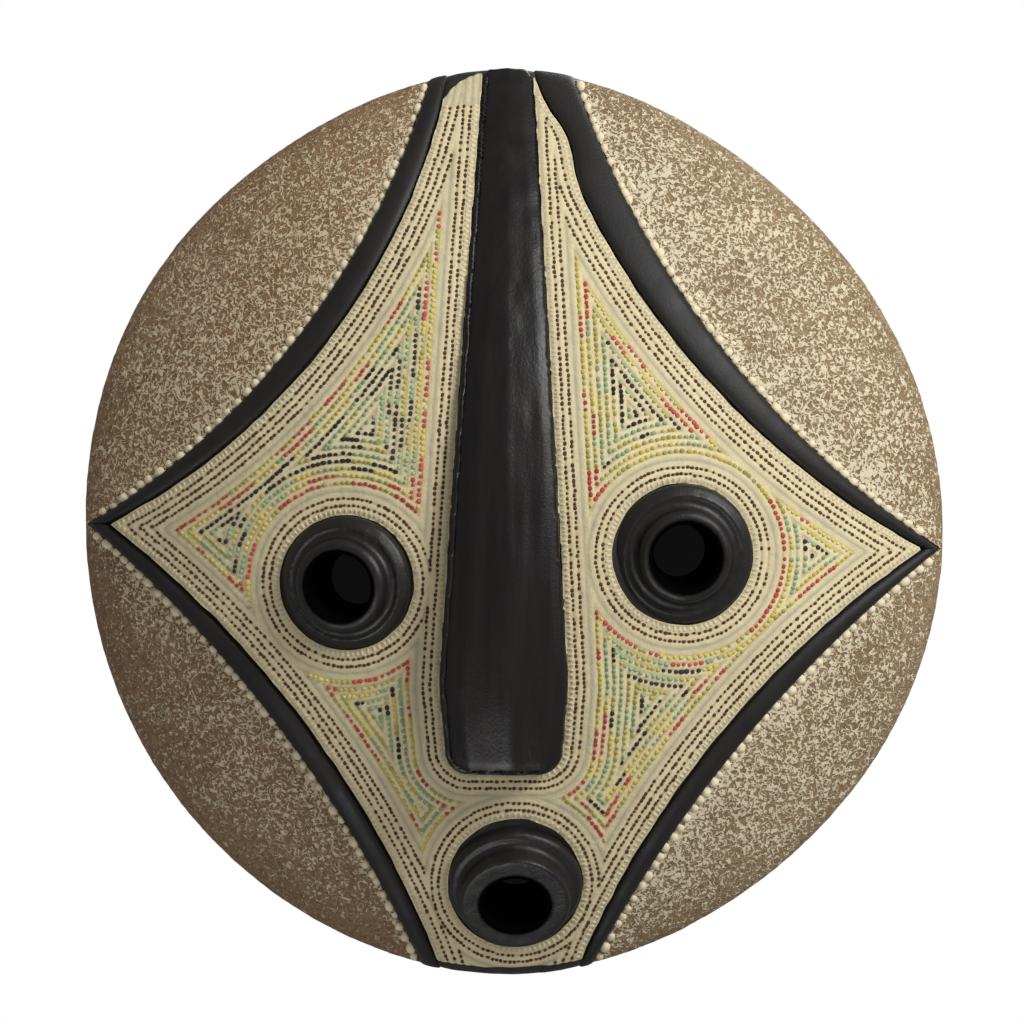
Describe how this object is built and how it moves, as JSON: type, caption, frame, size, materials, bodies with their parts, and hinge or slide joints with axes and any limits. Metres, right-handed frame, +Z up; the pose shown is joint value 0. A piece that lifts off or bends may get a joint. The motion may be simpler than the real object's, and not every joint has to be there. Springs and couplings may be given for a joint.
{
  "type": "carved wooden mask",
  "caption": "Round domed wooden wall mask with a long nose bar, stepped eye and mouth tubes, black borders and a dotted four-pointed face.",
  "frame": {"origin": "middle of the flat back rim, on the wall plane", "axes": "+Z up, the face looks along -Y, +Y into the wall"},
  "size_m": [0.325, 0.0854, 0.344],
  "materials": {
    "shell_wood": "bare and stained light wood, tool marks in the hollow",
    "peg_wood": "bare dowel",
    "black_paint": "black stained wood, satin, rubbed",
    "cream_ground": "matt chalk paint with rows of small painted dots",
    "corner_crust": "rough brown paint with dry cream flecks",
    "raised_dots": "thick matt cream paint",
    "hanger_steel": "dull plated steel"
  },
  "bodies": {
    "mask": {"mask_shell": "shell_wood", "nose_ridge": "black_paint", "nose_pegs": "peg_wood", "left_eye_tube": "black_paint", "right_eye_tube": "black_paint", "mouth_tube": "black_paint", "face_ground": "cream_ground", "border_upper_left": "black_paint", "border_upper_right": "black_paint", "border_lower_left": "black_paint", "border_lower_right": "black_paint", "corner_upper_left": "corner_crust", "corner_upper_right": "corner_crust", "corner_lower_left": "corner_crust", "corner_lower_right": "corner_crust", "bead_row_upper_left": "raised_dots", "bead_row_upper_right": "raised_dots", "bead_row_lower_left": "raised_dots", "bead_row_lower_right": "raised_dots", "hanger_strap": "hanger_steel", "hanger_screw": "hanger_steel"},
    "ring": {"hanger_ring": "hanger_steel"}
  },
  "joints": [
    {"name": "ring_swing", "type": "hinge", "parent": "mask", "child": "ring", "pos_m": [0, -0.00252, 0.139], "axis": [1, 0, 0], "range_deg": [-3, 183]}
  ]
}
